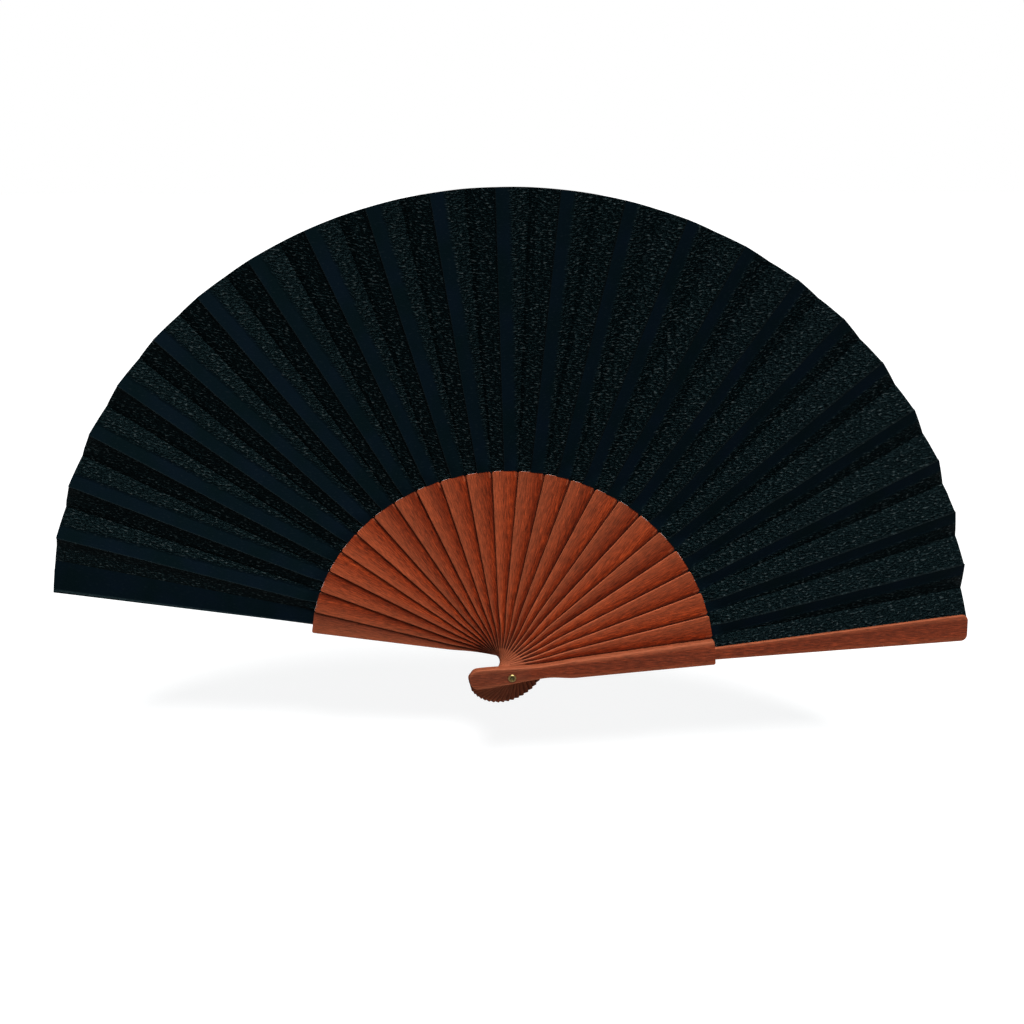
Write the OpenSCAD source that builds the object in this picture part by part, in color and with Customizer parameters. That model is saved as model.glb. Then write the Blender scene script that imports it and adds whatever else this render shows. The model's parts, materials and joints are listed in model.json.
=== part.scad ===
// Folding hand fan: 24 wooden sticks on one brass rivet, with a pleated cloth leaf.
// Millimetres. The open fan stands in the XZ plane, and its rivet runs along Y through the origin.
// Stick 0 is the front guard and stick 23 the rear guard. Each stick lies one pitch behind the last.

/* [Overall] */
// Rivet to the tip of a guard
fan_radius = 208; // [185:1:235]
// Angle between the two guards when the fan is open
open_angle = 163.3; // [135:0.1:175]
// Angle of the front guard above +X
first_angle = 6.4; // [0:0.1:20]

/* [Sticks] */
// Rivet to the shoulder, where a blade ends and its rib begins
shoulder_radius = 92; // [75:1:110]
// Thickness of an inner stick
stick_thick = 0.95; // [0.7:0.05:1]
// Length of an inner stick behind the rivet
tail_length = 19.4; // [14:0.1:24]
// Radius of the tail's upper corner
tail_round = 3; // [1:0.1:4]
// Radius of the tail's lower corner, which shows as a tooth in the open fan's head
tail_tooth_round = 0.5; // [0.2:0.1:2]
// Width of a stick near its tail
tail_width = 9.6; // [8:0.1:12]
// Width of the neck
neck_width = 6.2; // [5:0.1:8]
// Rivet to the narrowest part of the neck
neck_radius = 15; // [10:0.5:20]
// Width where the straight part of the blade starts
blade_start_width = 8.8; // [7.5:0.1:11]
// Rivet to where the straight part of the blade starts
blade_start_radius = 30; // [24:1:40]
// Width of the blade at its shoulder
blade_width = 11.9; // [9.5:0.1:12.5]
// Radius of the two shoulder corners
shoulder_round = 0.9; // [0.4:0.1:2.4]

/* [Ribs] */
// Width of the rib that carries the leaf
rib_width = 5; // [3.5:0.1:5.4]
// Thickness of the rib
rib_thick = 0.5; // [0.3:0.05:0.6]
// Tilt of the rib, which is the slope of the pleats
rib_tilt = 20; // [10:1:24]
// Length over which the rib twists from flat to tilted
twist_length = 7.5; // [5:0.5:15]

/* [Guards] */
// Length of a guard behind the rivet
guard_tail_length = 19; // [14:0.1:24]
// How far a guard's rounded tail end reaches along it
guard_tail_round = 3.8; // [2:0.1:6]
// Thickness of a guard along its blade
guard_thick = 3.2; // [2.5:0.1:4]
// Thickness of the guard's outer strip
strip_thick = 1.5; // [1:0.1:1.7]
// Width of the outer strip at the shoulder
strip_start_width = 5.9; // [4.5:0.1:6.5]
// Width of the outer strip at its tip
strip_end_width = 13; // [9:0.1:14]
// Radius of the tip corners
tip_round = 2.6; // [1:0.1:4]

/* [Leaf] */
// Thickness of the cloth
leaf_thick = 0.3; // [0.2:0.05:0.3]

/* [Rivet] */
// Radius of the rivet's shank
rivet_radius = 1; // [0.8:0.05:1.3]
// Width of the rings' rims around the shank
ring_width = 0.9; // [0.6:0.05:1.5]
// Thickness of the rings
ring_thick = 0.6; // [0.4:0.05:1]
// How far the shank's ends lie below the rings' faces
pin_recess = 0.3; // [0.1:0.05:0.4]

/* [Hidden] */
stick_count = 24;
gaps = stick_count - 1;
step_angle = open_angle / gaps;
// running clearance between the shank and each bore
bore_gap = 0.05;
// clearance between neighbouring sticks
stick_gap = 0.15;
stick_pitch = stick_thick + stick_gap;
// clearance between a guard and the stick beside it
guard_gap = 0.15;
// clearance between a ring and the guard it sits on
ring_gap = 0.02;
// layer of glue between the cloth and what it is glued to
glue = 0.02;
// clearance from the blade's shoulder to the leaf
leaf_gap = 0.15;
// most by which the cloth stands off the rib where the rib twists
twist_gap = 0.07;
// angle that is left free between two leaf folds at their valley
valley_gap_angle = 0.12;
// share of a step that each pleat's front half covers
valley_angle = 0.535 * step_angle;
// distance of the rib from the stick's axis line
rib_inset = 0.4;
rib_centre = rib_inset + rib_width / 2;
// distance by which the rib stops short of the leaf's edge
rib_end_gap = 3;
leaf_start = shoulder_radius + leaf_gap;
// share of each width that lies on the upper side of the stick's axis line
tail_share = 0.6;
neck_share = 0.61;
blade_start_share = 0.5;
blade_share = 0.42;
strip_upper = 1.5;
guard_inner = (gaps - 2) / 2 * stick_pitch + stick_thick / 2 + guard_gap;
guard_outer = guard_inner + guard_thick;
strip_inner = guard_outer - strip_thick;
ring_radius = rivet_radius + ring_width;
ring_inner = guard_outer + ring_gap;
ring_outer = ring_inner + ring_thick;
slice = 0.01;
$fn = 64;

function label(i) = i < 10 ? str("0", i) : str(i);
function stick_name(i) = str("stick_", label(i));
function leaf_name(i) = str("leaf_", label(i));

wood = [0.50, 0.22, 0.12];
cloth = [0.05, 0.06, 0.09];
brass = [0.72, 0.56, 0.28];

// Where a stick's middle plane lies along the rivet
function stick_y(i) = (i - gaps / 2) * stick_pitch;
function stick_angle(i) = first_angle + i * step_angle;
// A smooth change from a to b as t goes from 0 to 1
function ease(a, b, t) = a + (b - a) * (1 - cos(180 * min(1, max(0, t)))) / 2;
function arc(x, z, radius, from, to, steps) =
    [for (k = [0:steps]) let (a = from + (to - from) * k / steps) [x + radius * cos(a), z + radius * sin(a)]];

// Turns a stick's own frame, X along it and Z towards its upper side, to its place in the open fan
module place(i) {
    rotate([0, -stick_angle(i), 0])
        children();
}

// A flat outline in a stick's own XZ plane, as thick as from y_front to y_back
module plate(outline, y_front, y_back) {
    translate([0, y_back, 0])
        rotate([90, 0, 0])
            linear_extrude(height = y_back - y_front)
                polygon(outline);
}

module bore() {
    rotate([90, 0, 0])
        cylinder(r = rivet_radius + bore_gap, h = 3 * guard_outer, center = true);
}

// Distance from the axis line to a blade's upper and lower edge, from the tail to the straight part
tail_start = guard_tail_round - guard_tail_length;
function upper_edge(x) = x < neck_radius
    ? ease(tail_share * tail_width, neck_share * neck_width, (x - tail_start) / (neck_radius - tail_start))
    : ease(neck_share * neck_width, blade_start_share * blade_start_width,
        (x - neck_radius) / (blade_start_radius - neck_radius));
function lower_edge(x) = x < neck_radius
    ? ease((1 - tail_share) * tail_width, (1 - neck_share) * neck_width,
        (x - tail_start) / (neck_radius - tail_start))
    : ease((1 - neck_share) * neck_width, (1 - blade_start_share) * blade_start_width,
        (x - neck_radius) / (blade_start_radius - neck_radius));

// End of a guard's tail, a half ellipse from its upper to its lower side
function guard_tail() = let (middle = (2 * tail_share - 1) * tail_width / 2)
    [for (a = [90:10:270]) [tail_start + guard_tail_round * cos(a), middle + tail_width / 2 * sin(a)]];
// End of an inner stick's tail, cut square with a round upper corner and a sharper lower one
function stick_tail() = let (
    upper = tail_share * tail_width,
    lower = (1 - tail_share) * tail_width
) concat(
    arc(tail_round - tail_length, upper - tail_round, tail_round, 90, 180, 8),
    arc(tail_tooth_round - tail_length, tail_tooth_round - lower, tail_tooth_round, 180, 270, 4)
);

// Head, neck and blade in one outline, anticlockwise from the lower side of the tail
function blade_outline(tail) = let (
    edge_steps = 18,
    xs = [for (k = [1:edge_steps]) tail_start + (blade_start_radius - tail_start) * k / edge_steps],
    top = blade_share * blade_width,
    bottom = (1 - blade_share) * blade_width
) concat(
    [for (x = xs) [x, -lower_edge(x)]],
    arc(shoulder_radius - shoulder_round, shoulder_round - bottom, shoulder_round, -88, 0, 6),
    arc(shoulder_radius - shoulder_round, top - shoulder_round, shoulder_round, 0, 90, 6),
    [for (k = [1:edge_steps]) let (x = xs[edge_steps - k]) [x, upper_edge(x)]],
    tail
);

// The guard's outer strip, from inside the blade to the tip
function strip_outline() = let (
    lower_start = strip_start_width - strip_upper,
    lower_end = strip_end_width - strip_upper
) concat(
    [[shoulder_radius - 4, strip_upper], [shoulder_radius - 4, -lower_start]],
    [[shoulder_radius, -lower_start]],
    arc(fan_radius - tip_round, tip_round - lower_end, tip_round, -86, 0, 6),
    arc(fan_radius - tip_round, strip_upper - tip_round, tip_round, 0, 90, 6)
);

// Slope of the rib and of the cloth on it, which grows from none at the shoulder
function tilt(r) = ease(0, rib_tilt, (r - leaf_start) / twist_length);
// Middle of the rib at height z above the axis line, in the stick's own frame
function rib_y(r, z) = -(z + rib_centre) * tan(tilt(r));
function rib_half(r) = rib_thick / 2 / cos(tilt(r));
// Back of the cloth, which lies on the rib's front
function stand_off(r) = twist_gap * sin(180 * min(1, max(0, (r - leaf_start) / twist_length)));
function cloth_y(r, z) = rib_y(r, z) - rib_half(r) - glue - stand_off(r);
twist_rows = [for (k = [0:5]) leaf_start + twist_length * k / 5];

// Thin solid between a front and a back grid of points. Rows run outwards and columns upwards.
module sheet(front, back) {
    rows = len(front) - 1;
    cols = len(front[0]) - 1;
    grid = (rows + 1) * (cols + 1);
    function at(side, r, c) = side * grid + r * (cols + 1) + c;
    function quad(a, b, c, d) = [[a, b, c], [a, c, d]];
    faces = [
        for (r = [0:rows - 1]) for (c = [0:cols - 1])
            each quad(at(0, r, c), at(0, r, c + 1), at(0, r + 1, c + 1), at(0, r + 1, c)),
        for (r = [0:rows - 1]) for (c = [0:cols - 1])
            each quad(at(1, r, c), at(1, r + 1, c), at(1, r + 1, c + 1), at(1, r, c + 1)),
        for (r = [0:rows - 1])
            each quad(at(0, r, 0), at(0, r + 1, 0), at(1, r + 1, 0), at(1, r, 0)),
        for (r = [0:rows - 1])
            each quad(at(0, r + 1, cols), at(0, r, cols), at(1, r, cols), at(1, r + 1, cols)),
        for (c = [0:cols - 1])
            each quad(at(0, 0, c + 1), at(0, 0, c), at(1, 0, c), at(1, 0, c + 1)),
        for (c = [0:cols - 1])
            each quad(at(0, rows, c), at(0, rows, c + 1), at(1, rows, c + 1), at(1, rows, c))
    ];
    polyhedron([for (row = front) each row, for (row = back) each row], faces);
}

// The rib starts inside the blade, twists beyond the shoulder and runs on straight
module rib() {
    radii = concat([shoulder_radius - 4], twist_rows, [fan_radius - rib_end_gap]);
    heights = [for (k = [3:-1:0]) -rib_inset - rib_width * k / 3];
    sheet(
        [for (r = radii) [for (z = heights) [r, rib_y(r, z) - rib_half(r), z]]],
        [for (r = radii) [for (z = heights) [r, rib_y(r, z) + rib_half(r), z]]]
    );
}

module front_guard() {
    color(wood)
        place(0)
            difference() {
                union() {
                    plate(blade_outline(guard_tail()), -guard_outer, -guard_inner);
                    plate(strip_outline(), -guard_outer, -strip_inner);
                }
                bore();
            }
}

module stick(i) {
    color(wood)
        place(i)
            translate([0, stick_y(i), 0])
                difference() {
                    union() {
                        plate(blade_outline(stick_tail()), -stick_thick / 2, stick_thick / 2);
                        rib();
                    }
                    bore();
                }
}

module rear_guard() {
    color(wood)
        place(gaps)
            difference() {
                union() {
                    plate(blade_outline(guard_tail()), guard_inner, guard_outer);
                    plate(strip_outline(), strip_inner, guard_outer);
                }
                bore();
            }
}

// Back of the cloth at an angle from stick i's axis line, on the half of a pleat that is glued to the stick
function glued_y(i, r, angle) =
    i == 0 ? -strip_inner + glue + leaf_thick
    : i == gaps ? strip_inner - glue
    : stick_y(i) + cloth_y(r, r * sin(angle));
// The same on the free half, which runs from stick i's ridge to the valley beside the next stick
function free_y(i, r, angle) = let (
    share = angle / (step_angle - valley_angle),
    ridge = glued_y(i, r, 0),
    valley = glued_y(i + 1, r, -valley_angle)
) ridge + (valley - ridge) * share;
function leaf_y(i, r, angle) = angle > 0 && i < gaps ? free_y(i, r, angle) : glued_y(i, r, angle);
// One fold of the leaf: the half pleat on stick i, its ridge and the free half pleat beside it
module leaf_fold(i) {
    low = i == 0 ? -0.8 * valley_angle : valley_gap_angle / 2 - valley_angle;
    high = i == gaps ? 0.09 * step_angle : step_angle - valley_angle - valley_gap_angle / 2;
    angles = [low, low * 2 / 3, low / 3, 0, high / 3, high * 2 / 3, high];
    radii = concat(twist_rows, [fan_radius]);
    function spot(r, a, shift) = [r * cos(a), leaf_y(i, r, a) + shift, r * sin(a)];
    color(cloth)
        place(i)
            sheet(
                [for (r = radii) [for (a = angles) spot(r, a, -leaf_thick)]],
                [for (r = radii) [for (a = angles) spot(r, a, 0)]]
            );
}

// A cylinder along Y from y_front to y_back
module rod(radius, y_front, y_back) {
    translate([0, y_back, 0])
        rotate([90, 0, 0])
            cylinder(r = radius, h = y_back - y_front);
}

module rivet_pin() {
    color(brass)
        rod(rivet_radius, pin_recess - ring_outer, ring_outer - pin_recess);
}

module ring(y_front, y_back) {
    color(brass)
        difference() {
            rod(ring_radius, y_front, y_back);
            rod(rivet_radius + ring_gap, y_front - slice, y_back + slice);
        }
}

module rivet_ring_front() {
    ring(-ring_outer, -ring_inner);
}

module rivet_ring_rear() {
    ring(ring_inner, ring_outer);
}

front_guard();
for (i = [1:gaps - 1]) stick(i);
rear_guard();
for (i = [0:gaps]) leaf_fold(i);
rivet_pin();
rivet_ring_front();
rivet_ring_rear();
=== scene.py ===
import json
import math
import random

import bmesh
import bpy
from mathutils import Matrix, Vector


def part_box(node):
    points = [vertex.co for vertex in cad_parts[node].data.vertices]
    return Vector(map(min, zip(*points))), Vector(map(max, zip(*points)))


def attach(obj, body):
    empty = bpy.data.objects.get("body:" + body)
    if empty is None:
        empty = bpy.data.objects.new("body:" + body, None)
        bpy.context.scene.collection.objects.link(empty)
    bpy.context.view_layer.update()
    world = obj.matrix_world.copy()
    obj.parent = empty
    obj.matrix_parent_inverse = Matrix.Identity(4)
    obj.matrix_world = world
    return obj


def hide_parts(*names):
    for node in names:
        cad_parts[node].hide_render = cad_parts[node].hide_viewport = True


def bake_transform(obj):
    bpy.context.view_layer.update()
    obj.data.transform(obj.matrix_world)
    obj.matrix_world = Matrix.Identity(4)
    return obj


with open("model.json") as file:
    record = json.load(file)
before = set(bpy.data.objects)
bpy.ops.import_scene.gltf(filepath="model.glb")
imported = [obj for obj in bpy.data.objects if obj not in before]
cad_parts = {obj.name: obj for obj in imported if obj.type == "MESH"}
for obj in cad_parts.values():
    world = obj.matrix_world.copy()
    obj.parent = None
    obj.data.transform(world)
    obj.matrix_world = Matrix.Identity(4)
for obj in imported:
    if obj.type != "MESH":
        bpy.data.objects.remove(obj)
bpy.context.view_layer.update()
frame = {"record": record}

scene = bpy.context.scene
MM = 0.001

# ---------------------------------------------------------------- camera
camera_data = bpy.data.cameras.new("camera")
camera_data.sensor_width = 36.0
camera_data.lens = 33.9
camera_data.clip_start = 0.01
camera = bpy.data.objects.new("camera", camera_data)
camera.location = (-0.0251, -0.3961, 0.2141)
camera.rotation_euler = (math.radians(70.48), 0.0, math.radians(-3.76))
scene.collection.objects.link(camera)
scene.camera = camera

# ---------------------------------------------------------------- sizes, in millimetres
GAPS = 23
joints = {j["name"]: j for j in frame["record"]["behaviour"]["joints"]}
OPEN_ANGLE = joints["rear_guard_hinge"]["range_deg"][1]
FIRST_ANGLE = 6.4  # of the front guard above +X, in degrees
STEP = OPEN_ANGLE / GAPS
VALLEY = 0.535 * STEP  # angle between a stick and the valley on its glued side, in degrees
FIRST_SHARE = 0.8  # the first glued half stops short, behind the front guard's strip
LAST_LAP = 0.09 * STEP  # how far the last half fold goes past the rear guard's axis line
ROOT = "front_guard_body"

pin_low, pin_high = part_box("rivet_pin")
ring_low, ring_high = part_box("rivet_ring_front")
guard_low, guard_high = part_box("front_guard")
PIN_RADIUS = (pin_high.x - pin_low.x) / 2 / MM
RING_RADIUS = (ring_high.x - ring_low.x) / 2 / MM
RING_THICK = (ring_high.y - ring_low.y) / MM
GUARD_OUTER = -guard_low.y / MM
GUARD_INNER = -guard_high.y / MM
PITCH = 1.1
STICK_THICK = 0.8  # a little less than the solid blade, so that bevelled blades keep clear
STICK_BEVEL = 0.28
GUARD_BEVEL = 0.4
FRONT_GUARD_CHAMFER = 0.9
CHAMFER_START = 22.0
CHAMFER_GROWTH = 12.0
BLADE_LEAN = 0.033  # slope of an inner blade's face at the shoulder
LEAN_START = 10.0
LEAN_GROWTH = 70.0
SEAM_START = 6.0  # from here outwards a shadow is painted beside the edge of the stick in front
SEAM_SETBACK = 0.6
STRIP_THICK = 1.5
STRIP_BEVEL = 0.35
STRIP_SINK = 0.06  # how far a strip's face lies below its guard's
GUARD_TAIL = 19.0
GUARD_TAIL_ROUND = 3.8
STICK_TAIL = 19.4
STICK_TAIL_ROUND = 3.0
STICK_TOOTH_ROUND = 0.5
TAIL_WIDTH = 9.6
NECK_WIDTH = 6.2
NECK_RADIUS = 15.0
BLADE_START = 30.0
BLADE_START_WIDTH = 8.8
BLADE_WIDTH = 11.9
SHOULDER = 92.0
SHOULDER_ROUND = 0.9
TIP = 208.0
TIP_ROUND = 2.6
STRIP_UPPER = 1.5
STRIP_START_WIDTH = 5.9
STRIP_END_WIDTH = 13.0
RIB_WIDTH = 5.0
RIB_THICK = 0.5
RIB_INSET = 0.4
RIB_BEVEL = 0.12
RIB_SHORT = 3.0  # how far a rib ends short of the cloth's edge
BAR_ROOT = 3.0  # how far a rib or strip starts inside its blade
RIB_CENTRE = RIB_INSET + RIB_WIDTH / 2
RIB_TILT = 20.0
TWIST = 7.5  # length over which a rib turns into its tilt
LEAF_START = SHOULDER + 0.15
TUCK = 1.2  # how far the cloth reaches in between two blades by the valley
TUCK_SETBACK = 0.22
TUCK_THINNING = 0.6
CRINKLE_DEPTH = 0.4
WEAVE_BOW = 0.00067  # bends the cloth's level threads up towards both ends of the leaf
CLOTH_THICK = 0.26
GLUE = 0.02
CLOSE_START = 0.9  # share of the loose half from which it closes on the next fold


def body(i):
    """Name of the body that stick i belongs to."""
    if i == 0:
        return ROOT
    return "rear_guard_body" if i == GAPS else f"stick_{i:02d}_body"


def stick_node(i):
    if i == 0:
        return "front_guard"
    return "rear_guard" if i == GAPS else f"stick_{i:02d}"


def stick_angle(i):
    return math.radians(FIRST_ANGLE + i * STEP)


def stick_y(i):
    return (i - GAPS / 2) * PITCH


def placed(i, x, y, z):
    """A point of stick i's own frame, in metres in the row frame."""
    cos, sin = math.cos(stick_angle(i)), math.sin(stick_angle(i))
    return Vector(((x * cos - z * sin) * MM, y * MM, (x * sin + z * cos) * MM))


def ease(a, b, t):
    t = min(1.0, max(0.0, t))
    return a + (b - a) * (1 - math.cos(math.pi * t)) / 2


# ---------------------------------------------------------------- mesh helpers
def make_object(name, verts, faces, uvs, attributes=(), sharp=math.radians(32)):
    mesh = bpy.data.meshes.new(name)
    mesh.from_pydata([tuple(v) for v in verts], [], faces)
    bm = bmesh.new()
    bm.from_mesh(mesh)
    bmesh.ops.recalc_face_normals(bm, faces=bm.faces)
    for edge in bm.edges:
        if len(edge.link_faces) == 2:
            edge.smooth = edge.calc_face_angle(0.0) < sharp
    for face in bm.faces:
        face.smooth = True
    bm.to_mesh(mesh)
    bm.free()
    layer = mesh.uv_layers.new(name="surface")
    for loop in mesh.loops:
        layer.data[loop.index].uv = uvs[loop.vertex_index]
    for label, values in attributes:
        mesh.attributes.new(label, "FLOAT", "POINT").data.foreach_set("value", values)
    obj = bpy.data.objects.new(name, mesh)
    scene.collection.objects.link(obj)
    return obj


class Lofted:
    """Closed tubes through rows of sections, gathered into one mesh."""

    def __init__(self, i):
        self.i = i
        self.slant = random.Random(900 + i).uniform(-0.05, 0.09)
        self.verts = []
        self.faces = []
        self.uvs = []
        self.edges = []
        self.shades = []

    def add(self, rows):
        """rows holds (x, section), and a section is a ring of (z, y, edge, shade)."""
        count = len(rows[0][1])
        first = len(self.verts)
        for x, ring in rows:
            for z, y, edge, shade in ring:
                self.verts.append(placed(self.i, x, y, z))
                self.uvs.append((x, z + 0.6 * y + self.slant * x + 40.0 * self.i))
                self.edges.append(edge)
                self.shades.append(shade)
        for k in range(len(rows) - 1):
            for j in range(count):
                a = first + k * count + j
                b = first + k * count + (j + 1) % count
                self.faces.append((a, b, b + count, a + count))
        self.faces.append(tuple(first + j for j in range(count))[::-1])
        last = first + (len(rows) - 1) * count
        self.faces.append(tuple(last + j for j in range(count)))


def front_columns(low, high, seam):
    """(z, shade) of the columns across a front face; shade is how strongly a shadow is painted there.

    seam is the z at which the edge of the stick in front crosses it, or None.
    """
    if seam is None:
        return [(low + (high - low) * t, 0.0) for t in (0.2, 0.5, 0.8)]
    first = min(max(seam, low + 0.02), high - 0.06)
    second = min(first + 0.35, high - 0.04)
    third = min(first + 1.3, high - 0.02)
    return [(first, 1.0), (second, 0.6), (third, 0.0)]


def section(lower, upper, y_front, y_back, bevel, chamfer=0.0, slope=None, seam=None):
    """Ring of (z, y, edge, shade) round a bar's section with rounded corners."""
    round_off = min(bevel, (upper - lower) * 0.4, (y_back - y_front) * 0.4)
    cut_width = max(round_off, min(chamfer, (upper - lower) * 0.4))
    cut_depth = max(round_off, min(0.7 * chamfer, (y_back - y_front) * 0.6))
    near = 0.3 * round_off
    hidden = 0.0 if seam is None else 1.0
    columns = front_columns(lower + round_off, upper - cut_width, seam)
    back_width = upper - lower - 2 * round_off
    ring = [
        (lower, y_front + round_off, 1.0, hidden),
        (lower + near, y_front + near, 1.0, hidden),
        (lower + round_off, y_front, 0.6, hidden),
    ]
    ring += [(z, y_front, 0.0, shade) for z, shade in columns]
    ring += [
        (upper - cut_width, y_front, 0.6, 0.0),
        (upper - 0.45 * cut_width, y_front + 0.45 * cut_depth, 1.0, 0.0),
        (upper, y_front + cut_depth, 1.0, 0.0),
        (upper, y_back - round_off, 1.0, 0.0),
        (upper - near, y_back - near, 1.0, 0.0),
        (upper - round_off, y_back, 0.6, 0.0),
    ]
    ring += [(upper - round_off - back_width * t, y_back, 0.0, 0.0) for t in (0.2, 0.5, 0.8)]
    ring += [
        (lower + round_off, y_back, 0.6, 0.0),
        (lower + near, y_back - near, 1.0, 0.0),
        (lower, y_back - round_off, 1.0, 0.0),
    ]
    if slope:
        ring = [(z, y + slope(z), edge, shade) for z, y, edge, shade in ring]
    return ring


# ---------------------------------------------------------------- stick shapes
TAIL_START = GUARD_TAIL_ROUND - GUARD_TAIL


def round_corner(x, end, radius):
    """How far a rounded corner stands back at x, short of an end at x = end."""
    into = max(0.0, radius - abs(x - end))
    return radius - math.sqrt(max(0.0, radius**2 - into**2))


def tail_widths(x, guard):
    """(lower, upper) edge of a stick's tail at x: a guard's is a half ellipse, an inner one's is square."""
    if guard:
        round_off = math.sqrt(max(0.0, 1 - ((TAIL_START - x) / GUARD_TAIL_ROUND) ** 2))
        middle = 0.1 * TAIL_WIDTH
        return middle - TAIL_WIDTH / 2 * round_off, middle + TAIL_WIDTH / 2 * round_off
    upper = 0.6 * TAIL_WIDTH - round_corner(x, -STICK_TAIL, STICK_TAIL_ROUND)
    lower = 0.4 * TAIL_WIDTH - round_corner(x, -STICK_TAIL, STICK_TOOTH_ROUND)
    return -lower, upper


def half_widths(x, guard):
    """(lower, upper) edge of a blade at x, from the tail's end to the shoulder."""
    neck = (NECK_WIDTH * 0.39, NECK_WIDTH * 0.61)
    if x < TAIL_START:
        return tail_widths(x, guard)
    if x < NECK_RADIUS:
        t = (x - TAIL_START) / (NECK_RADIUS - TAIL_START)
        return -ease(0.4 * TAIL_WIDTH, neck[0], t), ease(0.6 * TAIL_WIDTH, neck[1], t)
    if x < BLADE_START:
        t = (x - NECK_RADIUS) / (BLADE_START - NECK_RADIUS)
        start = BLADE_START_WIDTH / 2
        return -ease(neck[0], start, t), ease(neck[1], start, t)
    straight_end = SHOULDER - SHOULDER_ROUND
    t = min(1.0, (x - BLADE_START) / (straight_end - BLADE_START))
    start = BLADE_START_WIDTH / 2
    lower = start + (0.58 * BLADE_WIDTH - start) * t
    upper = start + (0.42 * BLADE_WIDTH - start) * t
    if x > straight_end:
        drop = SHOULDER_ROUND - math.sqrt(max(0.0, SHOULDER_ROUND**2 - (x - straight_end) ** 2))
        lower, upper = lower - drop, upper - drop
    return -lower, upper


def strip_edges(x):
    """(lower, upper) edge of a guard's outer strip at x."""
    t = min(1.0, max(0.0, (x - SHOULDER) / (TIP - TIP_ROUND - SHOULDER)))
    width = STRIP_START_WIDTH + (STRIP_END_WIDTH - STRIP_START_WIDTH) * t
    lower, upper = STRIP_UPPER - width, STRIP_UPPER
    if x > TIP - TIP_ROUND:
        drop = TIP_ROUND - math.sqrt(max(0.0, TIP_ROUND**2 - (x - TIP + TIP_ROUND) ** 2))
        lower, upper = lower + drop, upper - drop
    return lower, upper


def blade_stations(guard):
    if guard:
        tail = [TAIL_START - GUARD_TAIL_ROUND * math.cos(math.radians(a)) for a in range(9, 90, 9)]
    else:
        tooth = STICK_TOOTH_ROUND - STICK_TAIL
        tail = [tooth - STICK_TOOTH_ROUND * math.cos(math.radians(a)) for a in (12, 35, 60)]
        corner = STICK_TAIL_ROUND - STICK_TAIL
        tail += [corner - STICK_TAIL_ROUND * math.cos(math.radians(a)) for a in (35, 45, 55, 66, 78, 90)]
    neck = [TAIL_START + (BLADE_START - TAIL_START) * k / 20 for k in range(21)]
    straight = [BLADE_START + (SHOULDER - SHOULDER_ROUND - BLADE_START) * k / 14 for k in range(1, 15)]
    corner = [
        SHOULDER - SHOULDER_ROUND + SHOULDER_ROUND * math.sin(math.radians(a)) for a in range(15, 91, 15)
    ]
    return tail + neck + straight + corner


def tilt(x):
    return math.radians(ease(0.0, RIB_TILT, (x - LEAF_START) / TWIST))


def rib_slope(x):
    return lambda z: -(z + RIB_CENTRE) * math.tan(tilt(x))


def neighbour_edge(i, x):
    """Where the upper edge of the stick in front crosses stick i at x, with the fan open."""
    step = math.radians(STEP)
    near = x - SEAM_SETBACK
    return half_widths(near, i == 1)[1] * math.cos(step) - near * math.sin(step)


def add_blade(loft, y_front, y_back, bevel, chamfer=0.0, lean=0.0):
    """lean is how much the blade tilts at its shoulder, towards the slope of its rib."""
    rows = []
    guard = lean == 0
    for x in blade_stations(guard):
        lower, upper = half_widths(x, guard)
        cut = chamfer * ease(0.0, 1.0, (x - CHAMFER_START) / CHAMFER_GROWTH)
        slant = lean * ease(0.0, 1.0, (x - LEAN_START) / LEAN_GROWTH)
        seam = neighbour_edge(loft.i, x) if loft.i > 0 and x > SEAM_START else None
        ring = section(lower, upper, y_front, y_back, bevel, cut, lambda z, k=slant: -k * z, seam)
        rows.append((x, ring))
    loft.add(rows)


def add_strip(loft, y_front, y_back):
    xs = [SHOULDER - BAR_ROOT] + [SHOULDER + (TIP - TIP_ROUND - SHOULDER) * k / 16 for k in range(17)]
    xs += [TIP - TIP_ROUND + TIP_ROUND * math.sin(math.radians(a)) for a in range(15, 91, 15)]
    loft.add([(x, section(*strip_edges(x), y_front, y_back, STRIP_BEVEL)) for x in xs])


def add_rib(loft, y):
    xs = [SHOULDER - BAR_ROOT] + [LEAF_START + TWIST * k / 10 for k in range(11)]
    xs += [130.0, 170.0, TIP - RIB_SHORT - 0.2, TIP - RIB_SHORT]
    rows = []
    for x in xs:
        half = RIB_THICK / 2 / math.cos(tilt(x))
        low, high = -RIB_INSET - RIB_WIDTH, -RIB_INSET
        rows.append((x, section(low, high, y - half, y + half, RIB_BEVEL, slope=rib_slope(x))))
    loft.add(rows)


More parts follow.
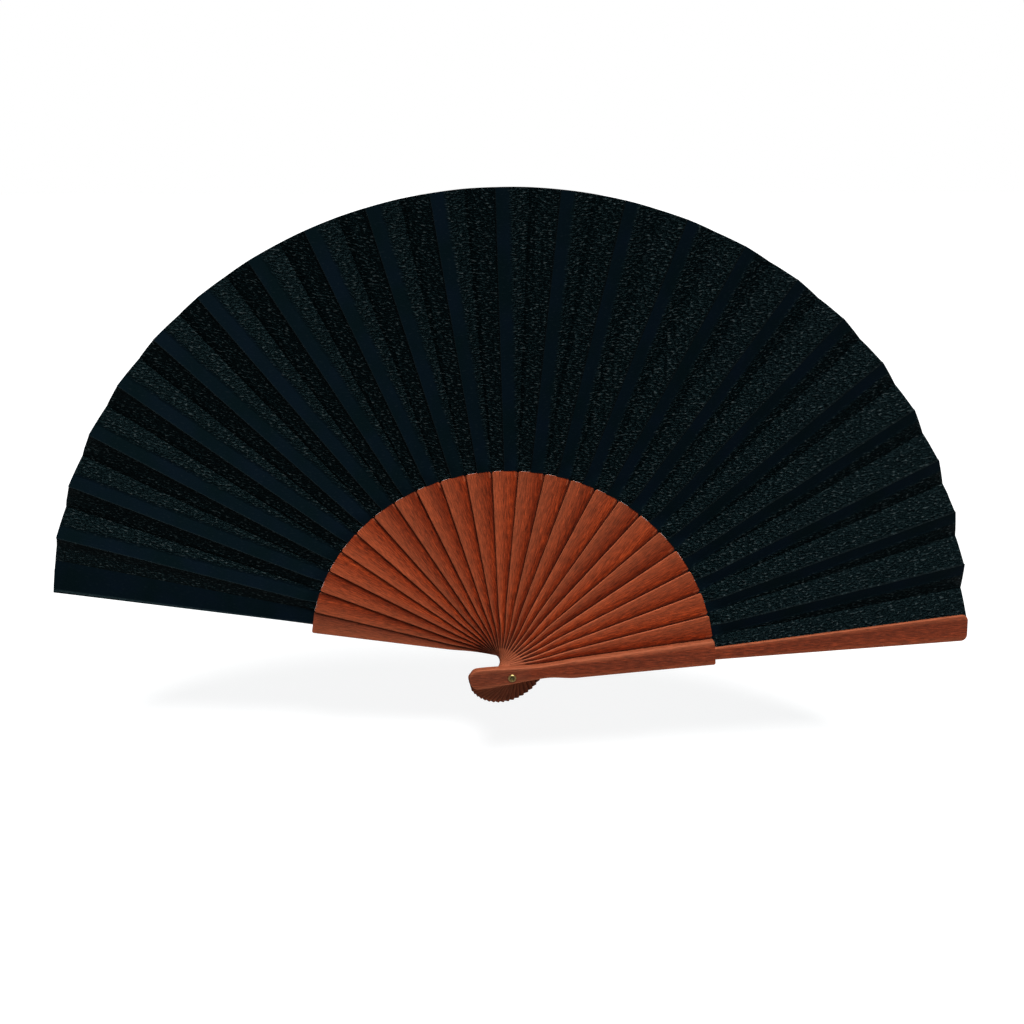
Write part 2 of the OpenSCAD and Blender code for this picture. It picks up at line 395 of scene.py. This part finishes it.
def make_stick(i, material):
    loft = Lofted(i)
    if i == 0:
        add_blade(loft, -GUARD_OUTER, -GUARD_INNER, GUARD_BEVEL, chamfer=FRONT_GUARD_CHAMFER)
        add_strip(loft, STRIP_SINK - GUARD_OUTER, STRIP_THICK - GUARD_OUTER)
    elif i == GAPS:
        add_blade(loft, GUARD_INNER, GUARD_OUTER, GUARD_BEVEL)
        add_strip(loft, GUARD_OUTER - STRIP_THICK, GUARD_OUTER - STRIP_SINK)
    else:
        y = stick_y(i)
        add_blade(loft, y - STICK_THICK / 2, y + STICK_THICK / 2, STICK_BEVEL, lean=BLADE_LEAN)
        add_rib(loft, y)
    tone = random.Random(50 + i).random()
    guard_dull = 0.55 if i in (0, GAPS) else 0.0
    # A guard has the plainer, darker colour all along. Towards the head every stick turns to it as well, and
    # there it is painted shade.
    plain_and_head_shade = [max(guard_dull, 0.8 * ease(1.0, 0.0, (x - 4.0) / 14.0)) for x, across in loft.uvs]
    values = [
        ("edge", loft.edges),
        ("shade", loft.shades),
        ("tone", [tone] * len(loft.verts)),
        ("plain_and_head_shade", plain_and_head_shade),
    ]
    obj = make_object("wood_" + stick_node(i), loft.verts, loft.faces, loft.uvs, values)
    obj.data.materials.append(material)
    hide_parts(stick_node(i))
    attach(obj, body(i))
    return obj


# ---------------------------------------------------------------- leaf shape
def glued_y(i, r, angle):
    """Back of the cloth on the half pleat that is glued to stick i."""
    if i == 0:
        return STRIP_THICK - GUARD_OUTER + GLUE + CLOTH_THICK
    if i == GAPS:
        return GUARD_OUTER - STRIP_THICK - GLUE
    x, z = r * math.cos(angle), r * math.sin(angle)
    return stick_y(i) + rib_slope(x)(z) - RIB_THICK / 2 / math.cos(tilt(x)) - GLUE


def wrap_share(i, r):
    """Share of the loose half that goes round the rib's edge."""
    return 0.9 if i == 0 else 0.9 * RIB_INSET / (math.radians(VALLEY) * r)


def stand_off(i, r, share):
    """How far in front of the next stick's cloth the loose half of pleat i stands.

    It wraps round the rib's edge at once, so that it lies behind its own rib when the fan closes.
    """
    full = glued_y(i + 1, r, 0.0) - glued_y(i, r, 0.0)
    close = CLOTH_THICK + GLUE / 2
    wrap = wrap_share(i, r)
    if share < wrap:
        return full + (close - full) * share / wrap
    return close * min(1.0, (1.0 - share) / 0.1)


def last_loose_y(r, share):
    """Back of the last pleat's loose half, which goes behind its rib and then flat on to the rear guard."""
    i = GAPS - 1

    def behind_rib(at):
        flat = glued_y(i, r, -at * math.radians(VALLEY)) + RIB_THICK / math.cos(tilt(r))
        return min(flat + 2 * GLUE + CLOTH_THICK, face)

    face = glued_y(GAPS, r, 0.0) - stand_off(i, r, max(share, 0.5))
    wrap = wrap_share(i, r)
    turn = min(0.7, (RIB_INSET + RIB_WIDTH) / (math.radians(VALLEY) * r))
    if share < wrap:
        ridge = glued_y(i, r, 0.0)
        return ridge + (behind_rib(wrap) - ridge) * share / wrap
    if share < turn:
        return behind_rib(share)
    start = behind_rib(turn)
    return start + (face - start) * min(1.0, (share - turn) / (CLOSE_START - turn))


def leaf_back_y(i, r, angle):
    if angle <= 0 or i == GAPS:
        return glued_y(i, r, angle)
    share = angle / math.radians(STEP - VALLEY)
    if i == GAPS - 1:
        return last_loose_y(r, share)
    return glued_y(i + 1, r, -share * math.radians(VALLEY)) - stand_off(i, r, share)


def crinkle(i, r, share):
    """Shallow forward waves of the loose cloth between the end of the rib and the valley."""
    first = (RIB_INSET + RIB_WIDTH) / (math.radians(VALLEY) * r) + 0.05
    if not first < share < CLOSE_START or i in (0, GAPS - 1):
        return 0.0
    swell = math.sin(math.pi * (share - first) / (CLOSE_START - first)) ** 2
    wave = 0.5 + 0.3 * math.sin(r * 0.11 + 1.7 * i) + 0.2 * math.sin(r * 0.27 + 2.9 * i + share * 3.0)
    return -CRINKLE_DEPTH * swell * wave


def tucked(i, angle, share):
    """1 where the cloth's inner edge reaches in between two blades, by the valley, and 0 elsewhere."""
    if i == GAPS:
        return 0.0
    if angle < 0 and i == 0:
        return 0.0
    if angle < 0:
        return 0.75 * ease(0.0, 1.0, (-angle / math.radians(VALLEY) - 0.86) / 0.12)
    return ease(0.0, 1.0, (share - 0.74) / 0.18)


def fold_columns(i, r):
    """(angle, share) across one pleat at radius r. share runs from 0 at the ridge to 1 at the valley."""
    valley = math.radians(VALLEY)
    free = math.radians(STEP - VALLEY)
    low = -FIRST_SHARE * valley if i == 0 else -valley
    columns = [(low * (1 - k / 12), 0.0) for k in range(13)]
    if i == GAPS:
        return columns + [(math.radians(LAST_LAP) * k / 3, 0.0) for k in (1, 2, 3)]
    wrap = min(0.06, wrap_share(i, r))
    shares = [wrap / 2, wrap] + [wrap + (CLOSE_START - wrap) * k / 12 for k in range(1, 13)] + [0.95, 1.0]
    return columns + [(share * free, share) for share in shares]


def make_fold(i, material):
    """One pleat of the leaf as a thin closed sheet in its open shape. Only the last one rides on its guard;
    the others stay where they are as the fan closes.
    """
    rows = [0.0, 1.4] + [TWIST * k / 10 for k in range(2, 11)]
    outer = LEAF_START + TWIST
    rows += [TWIST + (TIP - outer) * k / 34 for k in range(1, 35)]
    row_count = len(rows) - 1
    cols = len(fold_columns(i, TIP))
    grid, uvs, weights, across = [], [], [], []
    for back in (0, 1):
        for row in range(row_count + 1):
            t = rows[row] / rows[-1]
            near = LEAF_START + rows[row]
            for angle, share in fold_columns(i, near):
                tuck = tucked(i, angle, share)
                start = (SHOULDER + 0.03) / math.cos(angle) - TUCK * tuck
                r = start + (TIP - start) * t
                thin = min(1.0, 8 * tuck) if row < 2 else 0.0
                inward = TUCK_SETBACK * thin if angle > 0 else 0.0
                y = leaf_back_y(i, r, angle) + inward + crinkle(i, r, share)
                if not back:
                    y -= CLOTH_THICK * (1 - TUCK_THINNING * thin)
                grid.append(placed(i, r * math.cos(angle), y, r * math.sin(angle)))
                x = r * math.cos(angle + stick_angle(i))
                z = r * math.sin(angle + stick_angle(i))
                uvs.append((x, z - WEAVE_BOW * x * x))
                across.append(0.35 * r * angle - 0.5 if i == GAPS else r * angle)
                weights.append(min(1.0, (i + share) / (i + 1)))
    side_count = (row_count + 1) * cols

    def at(back, row, col):
        return back * side_count + row * cols + col

    faces = []
    for row in range(row_count):
        for col in range(cols - 1):
            for back in (0, 1):
                near_side = (at(back, row, col), at(back, row, col + 1))
                far_side = (at(back, row + 1, col + 1), at(back, row + 1, col))
                faces.append(near_side + far_side)
        for col in (0, cols - 1):
            faces.append((at(0, row, col), at(0, row + 1, col), at(1, row + 1, col), at(1, row, col)))
    for row in (0, row_count):
        for col in range(cols - 1):
            faces.append((at(0, row, col), at(0, row, col + 1), at(1, row, col + 1), at(1, row, col)))
    obj = make_object(f"cloth_fold_{i:02d}", grid, faces, uvs, [("across", across)], sharp=math.radians(24))
    obj.data.materials.append(material)
    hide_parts(f"leaf_{i:02d}")
    if i == GAPS:
        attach(obj, body(i))
    else:
        # The start and end are placeholders. A straight ramp can't follow a pleat that fans out, and no
        # joint joins two neighbouring sticks.
        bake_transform(obj)
    return obj


# ---------------------------------------------------------------- rivet shapes
def lathe(name, profile, material, node, segments=64):
    """A turned piece about the Y axis from (radius, y) points in millimetres.

    A profile that starts on the axis is left open at its ends, and any other is closed on itself.
    """
    verts, uvs, faces, rings = [], [], [], []
    for k, (radius, y) in enumerate(profile):
        if radius == 0:
            rings.append([len(verts)] * segments)
            verts.append(Vector((0, y * MM, 0)))
            uvs.append((k * 0.5, 0.0))
            continue
        rings.append(list(range(len(verts), len(verts) + segments)))
        for s in range(segments):
            turn = 2 * math.pi * s / segments
            verts.append(Vector((radius * math.cos(turn) * MM, y * MM, radius * math.sin(turn) * MM)))
            uvs.append((k * 0.5, 10.0 * s / segments))
    closed = profile[0][0] != 0
    pairs = list(zip(rings, rings[1:] + rings[:1])) if closed else list(zip(rings, rings[1:]))
    for one, two in pairs:
        for s in range(segments):
            n = (s + 1) % segments
            faces.append(tuple(dict.fromkeys((one[s], one[n], two[n], two[s]))))
    obj = make_object(name, verts, faces, uvs)
    obj.data.materials.append(material)
    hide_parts(node)
    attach(obj, ROOT)
    return obj


def make_rivet(ring_material, pin_material):
    seat = GUARD_OUTER + 0.02
    face = seat + RING_THICK
    inner = PIN_RADIUS + 0.02
    for side, name in ((-1, "front"), (1, "rear")):
        profile = [
            (inner, seat),
            (inner, face - 0.16),
            (inner + 0.07, face - 0.04),
            (inner + 0.2, face),
            (inner + 0.42, face - 0.03),
            (RING_RADIUS - 0.2, face - 0.16),
            (RING_RADIUS - 0.06, face - 0.3),
            (RING_RADIUS, face - 0.45),
            (RING_RADIUS, seat),
        ]
        lathe(f"brass_ring_{name}", [(r, side * y) for r, y in profile], ring_material, f"rivet_ring_{name}")
    end = pin_high.y / MM
    half = [
        (0, end - 0.22),
        (0.3, end - 0.2),
        (0.5, end - 0.1),
        (0.68, end - 0.02),
        (0.86, end - 0.02),
        (0.96, end - 0.08),
        (PIN_RADIUS, end - 0.16),
    ]
    profile = half + [(r, -y) for r, y in reversed(half)]
    lathe("brass_pin", profile, pin_material, "rivet_pin")


# ---------------------------------------------------------------- materials
class Nodes:
    """Short names for building a material's node tree."""

    def __init__(self, name):
        self.material = bpy.data.materials.new(name)
        self.material.use_nodes = True
        self.tree = self.material.node_tree
        self.shader = self.tree.nodes["Principled BSDF"]

    def add(self, kind, **values):
        node = self.tree.nodes.new(kind)
        for key, value in values.items():
            setattr(node, key, value)
        return node

    def link(self, output, socket):
        self.tree.links.new(output, socket)

    def uv(self, scale):
        source = self.add("ShaderNodeUVMap", uv_map="surface")
        mapping = self.add("ShaderNodeMapping")
        mapping.inputs["Scale"].default_value = scale
        self.link(source.outputs["UV"], mapping.inputs["Vector"])
        return mapping.outputs["Vector"]

    def noise(self, vector, scale=1.0, detail=3.0, roughness=0.5, distortion=0.0):
        node = self.add("ShaderNodeTexNoise")
        node.inputs["Scale"].default_value = scale
        node.inputs["Detail"].default_value = detail
        node.inputs["Roughness"].default_value = roughness
        node.inputs["Distortion"].default_value = distortion
        self.link(vector, node.inputs["Vector"])
        return node.outputs["Fac"]

    def ramp(self, value, *stops):
        node = self.add("ShaderNodeValToRGB")
        elements = node.color_ramp.elements
        while len(elements) < len(stops):
            elements.new(0.5)
        for element, (position, colour) in zip(elements, stops):
            element.position = position
            element.color = (*colour, 1.0)
        self.link(value, node.inputs["Fac"])
        return node.outputs["Color"]

    def grey(self, value, low, high, from_value=0.0, to_value=1.0):
        node = self.add("ShaderNodeMapRange")
        node.inputs["From Min"].default_value = low
        node.inputs["From Max"].default_value = high
        node.inputs["To Min"].default_value = from_value
        node.inputs["To Max"].default_value = to_value
        self.link(value, node.inputs["Value"])
        return node.outputs["Result"]

    def math(self, operation, a, b):
        node = self.add("ShaderNodeMath", operation=operation)
        for socket, value in zip(node.inputs, (a, b)):
            if isinstance(value, (int, float)):
                socket.default_value = value
            else:
                self.link(value, socket)
        return node.outputs["Value"]

    def mix(self, factor, a, b, blend="MIX"):
        node = self.add("ShaderNodeMix", data_type="RGBA", blend_type=blend)
        for socket, value in ((node.inputs[0], factor), (node.inputs[6], a), (node.inputs[7], b)):
            if isinstance(value, (int, float)):
                socket.default_value = value
            elif isinstance(value, tuple):
                socket.default_value = (*value, 1.0)
            else:
                self.link(value, socket)
        return node.outputs[2]

    def attribute(self, name):
        return self.add("ShaderNodeAttribute", attribute_name=name).outputs["Fac"]

    def bump(self, height, strength, distance):
        node = self.add("ShaderNodeBump")
        node.inputs["Strength"].default_value = strength
        node.inputs["Distance"].default_value = distance
        self.link(height, node.inputs["Height"])
        self.link(node.outputs["Normal"], self.shader.inputs["Normal"])


def wood_material():
    """Reddish oiled wood: fine straight grain along the stick, dark pores and flecks, edges lightened partly
    by wear and partly by a painted highlight, a painted shadow beside the stick in front, and painted shade
    by the head.
    """
    nodes = Nodes("fan_wood")
    broad = nodes.noise(nodes.uv((0.016, 0.30, 1)), detail=4.0, roughness=0.6, distortion=0.5)
    fine = nodes.noise(nodes.uv((0.20, 2.3, 1)), detail=5.0, roughness=0.78)
    pores = nodes.noise(nodes.uv((0.22, 3.4, 1)), detail=2.0, roughness=0.5)
    flecks = nodes.noise(nodes.uv((0.16, 0.42, 1)), detail=3.0, roughness=0.55)
    colour = nodes.ramp(
        broad,
        (0.28, (0.170, 0.0180, 0.0036)),
        (0.5, (0.249, 0.0286, 0.0059)),
        (0.72, (0.372, 0.0490, 0.0112)),
    )
    streaks = nodes.ramp(
        fine,
        (0.35, (0.20, 0.16, 0.14)),
        (0.5, (0.88, 0.87, 0.86)),
        (0.65, (1.95, 1.92, 1.80)),
    )
    colour = nodes.mix(0.95, colour, streaks, "MULTIPLY")
    dark = nodes.grey(pores, 0.55, 0.66)
    colour = nodes.mix(nodes.math("MULTIPLY", dark, 0.6), colour, (0.045, 0.008, 0.004))
    colour = nodes.mix(nodes.grey(flecks, 0.66, 0.74, 0.0, 0.6), colour, (0.060, 0.012, 0.006))
    tone = nodes.ramp(nodes.attribute("tone"), (0.0, (0.78, 0.74, 0.74)), (1.0, (1.16, 1.16, 1.10)))
    colour = nodes.mix(1.0, colour, tone, "MULTIPLY")
    # The plain colour: a guard's plainer finish, and painted shade on every stick by the head.
    plain = nodes.mix(0.45, (0.160, 0.050, 0.027), streaks, "MULTIPLY")
    colour = nodes.mix(nodes.math("MULTIPLY", nodes.attribute("plain_and_head_shade"), 0.85), colour, plain)
    # Lighter edges: partly wear, partly a painted highlight where light catches each edge.
    worn_edge_and_highlight = nodes.math("MULTIPLY", nodes.attribute("edge"), nodes.grey(fine, 0.3, 0.7, 0.3, 0.85))
    colour = nodes.mix(worn_edge_and_highlight, colour, (0.56, 0.155, 0.068))
    # Painted shadow: each blade is darkened beside the edge of the stick in front, where that stick's shadow
    # and the gap's shade fall.
    painted_shadow = nodes.math("MULTIPLY", nodes.attribute("shade"), 0.82)
    colour = nodes.mix(painted_shadow, colour, (0.022, 0.006, 0.004))
    nodes.link(colour, nodes.shader.inputs["Base Color"])
    nodes.link(nodes.grey(fine, 0.2, 0.8, 0.68, 0.5), nodes.shader.inputs["Roughness"])
    nodes.shader.inputs["Specular IOR Level"].default_value = 0.08
    height = nodes.math("SUBTRACT", nodes.math("MULTIPLY", fine, 0.6), nodes.math("MULTIPLY", dark, 0.5))
    nodes.bump(height, 0.5, 0.0003)
    return nodes.material


def cloth_material():
    """Black crepe with fine level ridges and pale specks painted as the threads' sheen, a painted highlight
    along each ridge, and a smooth navy strip over each rib.
    """
    nodes = Nodes("fan_cloth")
    crepe = nodes.noise(nodes.uv((0.6, 1.45, 1)), detail=1.5, roughness=0.5, distortion=0.3)
    weave = nodes.noise(nodes.uv((2.2, 3.6, 1)), detail=2.0, roughness=0.6)
    patch = nodes.noise(nodes.uv((0.06, 0.05, 1)), detail=2.0)
    ragged = nodes.math("SUBTRACT", nodes.noise(nodes.uv((0.3, 0.3, 1)), detail=3.0, roughness=0.6), 0.5)
    across = nodes.attribute("across")
    left = nodes.grey(nodes.math("ADD", across, nodes.math("MULTIPLY", ragged, 1.8)), -6.6, -5.0)
    right = nodes.grey(across, -0.3, 0.0, 1.0, 0.0)
    strip = nodes.math("MULTIPLY", left, right)
    # The crepe's dark colour. Its brightest specks are painted sheen of the threads.
    crepe_and_sheen = nodes.ramp(
        crepe,
        (0.46, (0.0002, 0.0012, 0.0016)),
        (0.56, (0.0005, 0.0022, 0.0028)),
        (0.63, (0.0065, 0.0125, 0.0135)),
        (0.71, (0.040, 0.050, 0.051)),
    )
    smooth = nodes.ramp(patch, (0.35, (0.0006, 0.0036, 0.0048)), (0.65, (0.0014, 0.0041, 0.0088)))
    smooth = nodes.mix(nodes.grey(weave, 0.45, 0.7, 0.0, 0.25), smooth, (0.005, 0.010, 0.014))
    colour = nodes.mix(nodes.math("MULTIPLY", strip, 0.94), crepe_and_sheen, smooth)
    # Painted highlight: a lighter line along each ridge of the leaf.
    fold = nodes.grey(nodes.math("ABSOLUTE", across, 0.0), 0.1, 0.45, 1.0, 0.0)
    fold = nodes.math("MULTIPLY", fold, nodes.grey(weave, 0.4, 0.6, 0.1, 0.6))
    colour = nodes.mix(fold, colour, (0.018, 0.027, 0.030))
    nodes.link(colour, nodes.shader.inputs["Base Color"])
    nodes.link(nodes.grey(strip, 0.0, 1.0, 0.42, 0.7), nodes.shader.inputs["Roughness"])
    nodes.link(nodes.grey(strip, 0.0, 1.0, 0.07, 0.06), nodes.shader.inputs["Specular IOR Level"])
    nodes.shader.inputs["Specular Tint"].default_value = (0.45, 0.9, 1.0, 1.0)
    depth = nodes.grey(strip, 0.0, 1.0, 1.0, 0.05)
    height = nodes.math("ADD", crepe, nodes.math("MULTIPLY", weave, 0.12))
    nodes.bump(nodes.math("MULTIPLY", height, depth), 1.0, 0.0010)
    return nodes.material


def brass_material(name, light, dark, roughness):
    nodes = Nodes(name)
    spots = nodes.noise(nodes.uv((2.0, 1.5, 1)), detail=4.0, roughness=0.6)
    scratches = nodes.noise(nodes.uv((9.0, 0.6, 1)), detail=2.0)
    nodes.link(nodes.mix(nodes.grey(spots, 0.35, 0.7), light, dark), nodes.shader.inputs["Base Color"])
    nodes.shader.inputs["Metallic"].default_value = 1.0
    nodes.link(nodes.grey(spots, 0.3, 0.7, roughness, roughness + 0.2), nodes.shader.inputs["Roughness"])
    nodes.bump(scratches, 0.15, 0.0001)
    return nodes.material


def floor_material():
    """Plain pale floor. It gives back less light than it shows, so that the fan isn't lit from below."""
    nodes = Nodes("floor")
    nodes.shader.inputs["Roughness"].default_value = 0.9
    nodes.shader.inputs["Specular IOR Level"].default_value = 0.1
    nodes.shader.inputs["Emission Color"].default_value = (1.0, 1.0, 1.0, 1.0)
    path = nodes.add("ShaderNodeLightPath")
    seen = path.outputs["Is Camera Ray"]
    nodes.link(nodes.mix(seen, (0.25, 0.25, 0.25), (0.4, 0.4, 0.4)), nodes.shader.inputs["Base Color"])
    nodes.link(nodes.math("MULTIPLY", seen, 0.7), nodes.shader.inputs["Emission Strength"])
    return nodes.material


# ---------------------------------------------------------------- the fan
wood = wood_material()
cloth = cloth_material()
ring_brass = brass_material("fan_brass", (0.60, 0.43, 0.17), (0.30, 0.20, 0.08), 0.32)
pin_brass = brass_material("fan_brass_dull", (0.20, 0.17, 0.07), (0.10, 0.09, 0.05), 0.5)

for index in range(GAPS + 1):
    make_stick(index, wood)
for index in range(GAPS + 1):
    make_fold(index, cloth)
make_rivet(ring_brass, pin_brass)

# ---------------------------------------------------------------- floor and light
FLOOR_Z = -0.07
FLOOR_REACH = 12.0
floor_corners = [(x * FLOOR_REACH, y * FLOOR_REACH, FLOOR_Z) for x, y in ((-1, -1), (1, -1), (1, 1), (-1, 1))]
floor_mesh = bpy.data.meshes.new("floor")
floor_mesh.from_pydata(floor_corners, [], [(0, 1, 2, 3)])
floor = bpy.data.objects.new("floor", floor_mesh)
floor.data.materials.append(floor_material())
scene.collection.objects.link(floor)


def sun_light(name, towards, strength, angle):
    """A soft lamp far away, that shines along the direction towards."""
    data = bpy.data.lights.new(name, "SUN")
    data.energy = strength
    data.angle = math.radians(angle)
    light = bpy.data.objects.new(name, data)
    light.location = (0.0, -1.0, 1.5)
    light.rotation_euler = Vector(towards).to_track_quat("-Z", "Y").to_euler()
    scene.collection.objects.link(light)


sun_light("key", (-0.14, 0.55, -0.84), 3.45, 18.0)
sun_light("back", (0.20, -0.60, -0.50), 2.2, 30.0)

world = bpy.data.worlds.new("studio")
world.use_nodes = True
nodes, links = world.node_tree.nodes, world.node_tree.links
background = nodes["Background"]
background.inputs["Color"].default_value = (0.65, 0.9, 1.0, 1.0)
background.inputs["Strength"].default_value = 0.10
seen = nodes.new("ShaderNodeBackground")
seen.inputs["Color"].default_value = (1.0, 1.0, 1.0, 1.0)
seen.inputs["Strength"].default_value = 1.0
path = nodes.new("ShaderNodeLightPath")
mix = nodes.new("ShaderNodeMixShader")
links.new(path.outputs["Is Camera Ray"], mix.inputs["Fac"])
links.new(background.outputs["Background"], mix.inputs[1])
links.new(seen.outputs["Background"], mix.inputs[2])
links.new(mix.outputs["Shader"], nodes["World Output"].inputs["Surface"])
scene.world = world
scene.view_settings.view_transform = "Standard"
